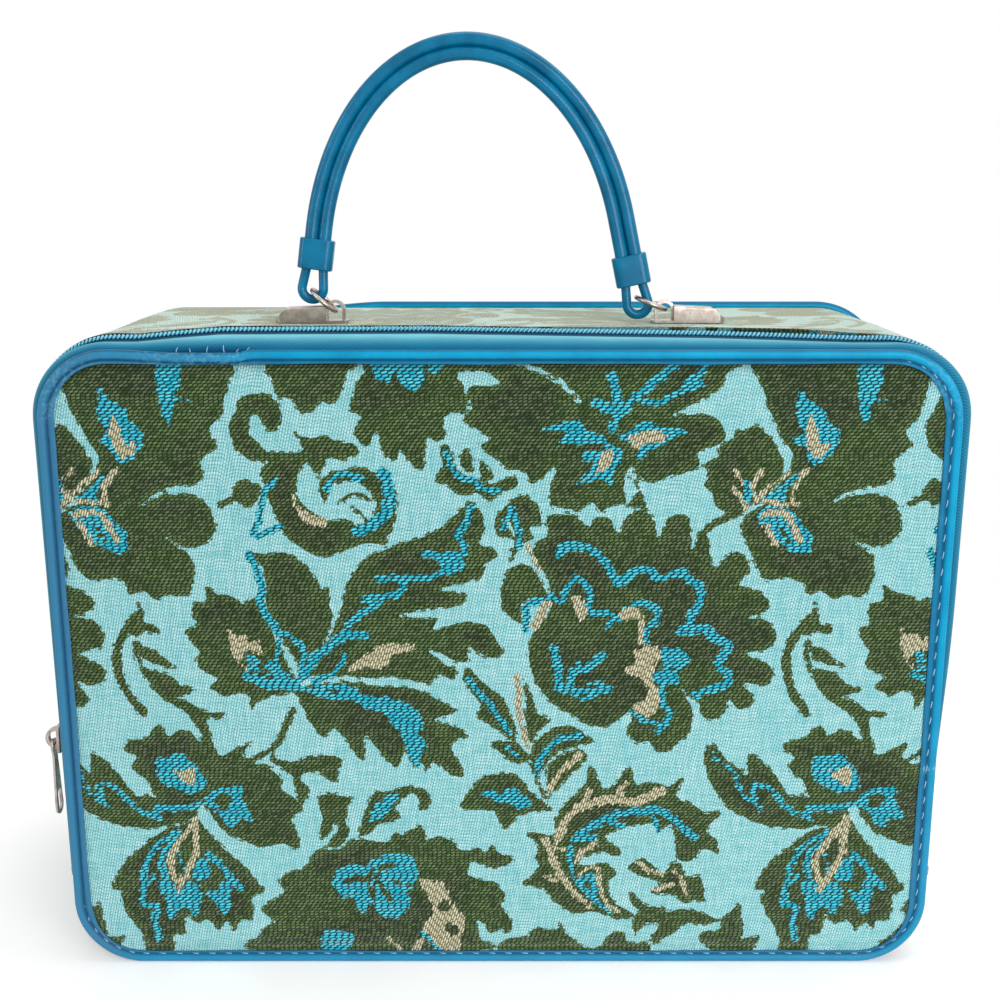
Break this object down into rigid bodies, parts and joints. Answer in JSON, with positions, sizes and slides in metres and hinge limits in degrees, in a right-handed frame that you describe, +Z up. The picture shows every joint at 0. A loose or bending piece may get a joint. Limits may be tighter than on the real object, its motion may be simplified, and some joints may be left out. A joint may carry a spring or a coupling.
{
  "type": "tapestry overnight case",
  "caption": "Boxy floral tapestry overnight case with piped vinyl binding, a lid that zips round three sides, a zip slider with a pull, and a doubled cord handle on rings.",
  "frame": {"origin": "middle of the bottom face, on the surface that the case stands on", "axes": "+Z up, the lid faces -Y, +X to the right when looking at the lid"},
  "size_m": [0.3987, 0.15, 0.4054],
  "materials": {
    "tapestry": "woven floral tapestry",
    "board": "plain fibreboard",
    "lining": "plain cloth",
    "binding_vinyl": "piped vinyl",
    "zip_tape": "twill",
    "zip_coil": "moulded coil",
    "nickel": "worn nickel plate",
    "steel": "plain",
    "handle_vinyl": "soft vinyl"
  },
  "bodies": {
    "case": {"gusset": "tapestry", "gusset_board": "board", "case_lining": "lining", "back_panel": "tapestry", "back_board": "board", "back_binding": "binding_vinyl", "zip_tape_case": "zip_tape", "zip_coil_case": "zip_coil", "zip_stops_case": "nickel", "handle_mount_left": "nickel", "handle_mount_right": "nickel", "backing_plate_left": "steel", "backing_plate_right": "steel", "mount_rivets": "steel"},
    "lid": {"front_panel": "tapestry", "front_board": "board", "lid_lining": "lining", "front_binding": "binding_vinyl", "zip_tape_lid": "zip_tape", "zip_coil_lid": "zip_coil", "zip_stops_lid": "nickel"},
    "slider": {"zip_slider": "nickel"},
    "pull": {"zip_pull": "nickel"},
    "handle": {"handle_cord": "handle_vinyl", "keeper_left": "handle_vinyl", "keeper_right": "handle_vinyl"},
    "left_ring": {"ring_left": "nickel"},
    "right_ring": {"ring_right": "nickel"}
  },
  "joints": [
    {"name": "lid_hinge", "type": "hinge", "parent": "case", "child": "lid", "pos_m": [0, -0.073, 0.002], "axis": [1, 0, 0], "range_deg": [0, 90]},
    {"name": "slider_slide", "type": "slide", "parent": "case", "child": "slider", "axis": [-0.0107, 0, 0.9999], "range_m": [-0.05, 0.13]},
    {"name": "pull_swing", "type": "hinge", "parent": "slider", "child": "pull", "pos_m": [-0.19699, -0.0587, 0.10196], "axis": [0, 1, 0], "range_deg": [0, 120]},
    {"name": "handle_swing", "type": "hinge", "parent": "case", "child": "handle", "pos_m": [0, -0.0085, 0.2909], "axis": [1, 0, 0], "range_deg": [-88, 88]},
    {"name": "left_ring_turn", "type": "hinge", "parent": "case", "child": "left_ring", "pos_m": [-0.0737, -0.0085, 0.2873], "axis": [1, 0, 0], "range_deg": [-44.5, 44.5]},
    {"name": "right_ring_turn", "type": "hinge", "parent": "case", "child": "right_ring", "pos_m": [0.0742, -0.0085, 0.2883], "axis": [1, 0, 0], "range_deg": [-44.5, 44.5]}
  ],
  "couplings": [
    {"joint": "left_ring_turn", "follows": "handle_swing", "ratio": 0.5},
    {"joint": "right_ring_turn", "follows": "handle_swing", "ratio": 0.5}
  ]
}
